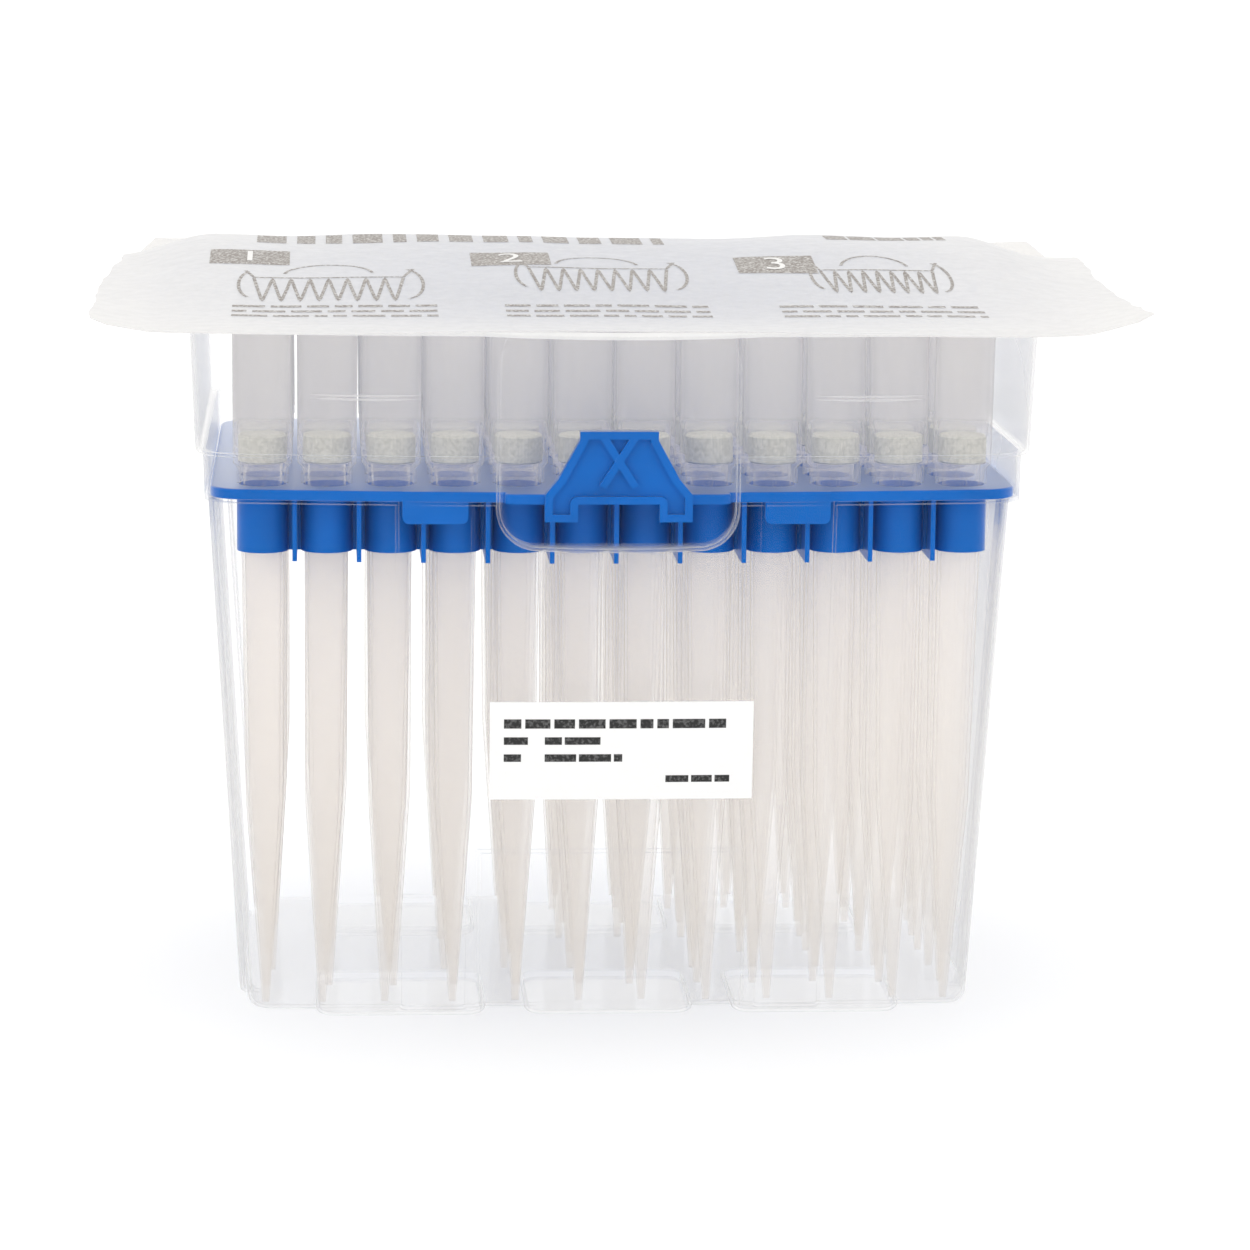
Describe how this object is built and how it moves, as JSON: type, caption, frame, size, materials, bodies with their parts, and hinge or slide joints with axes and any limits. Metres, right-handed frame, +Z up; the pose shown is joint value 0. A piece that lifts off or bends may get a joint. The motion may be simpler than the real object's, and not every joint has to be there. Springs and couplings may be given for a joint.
{
  "type": "box of pipette tips",
  "caption": "Sealed clear blister pack with a rack of filter pipette tips standing in its sockets under a peelable lidding film.",
  "frame": {"origin": "centre of the pack's outline, on the plane that its feet stand on", "axes": "+X along the rows of twelve tips, -Y towards the front wall with the label, +Z up towards the film"},
  "size_m": [0.1506, 0.104, 0.1055],
  "materials": {
    "clear_tray": "clear thermoformed polyester, glossy",
    "film": "matt spun-bonded lidding film, slightly see-through, with printed panels",
    "label": "white adhesive label with plain grey bars",
    "rack_blue": "moulded polypropylene, satin blue",
    "tip_plastic": "natural polypropylene, frosted and see-through",
    "filter": "sintered porous polyethylene, matt white"
  },
  "bodies": {
    "root": {"blister_tray": "clear_tray", "lidding_film": "film", "label": "label", "tip_rack": "rack_blue", "tips_column_01": "tip_plastic", "tips_column_02": "tip_plastic", "tips_column_03": "tip_plastic", "tips_column_04": "tip_plastic", "tips_column_05": "tip_plastic", "tips_column_06": "tip_plastic", "tips_column_07": "tip_plastic", "tips_column_08": "tip_plastic", "tips_column_09": "tip_plastic", "tips_column_10": "tip_plastic", "tips_column_11": "tip_plastic", "tips_column_12": "tip_plastic", "filters_column_01": "filter", "filters_column_02": "filter", "filters_column_03": "filter", "filters_column_04": "filter", "filters_column_05": "filter", "filters_column_06": "filter", "filters_column_07": "filter", "filters_column_08": "filter", "filters_column_09": "filter", "filters_column_10": "filter", "filters_column_11": "filter", "filters_column_12": "filter"}
  },
  "joints": []
}
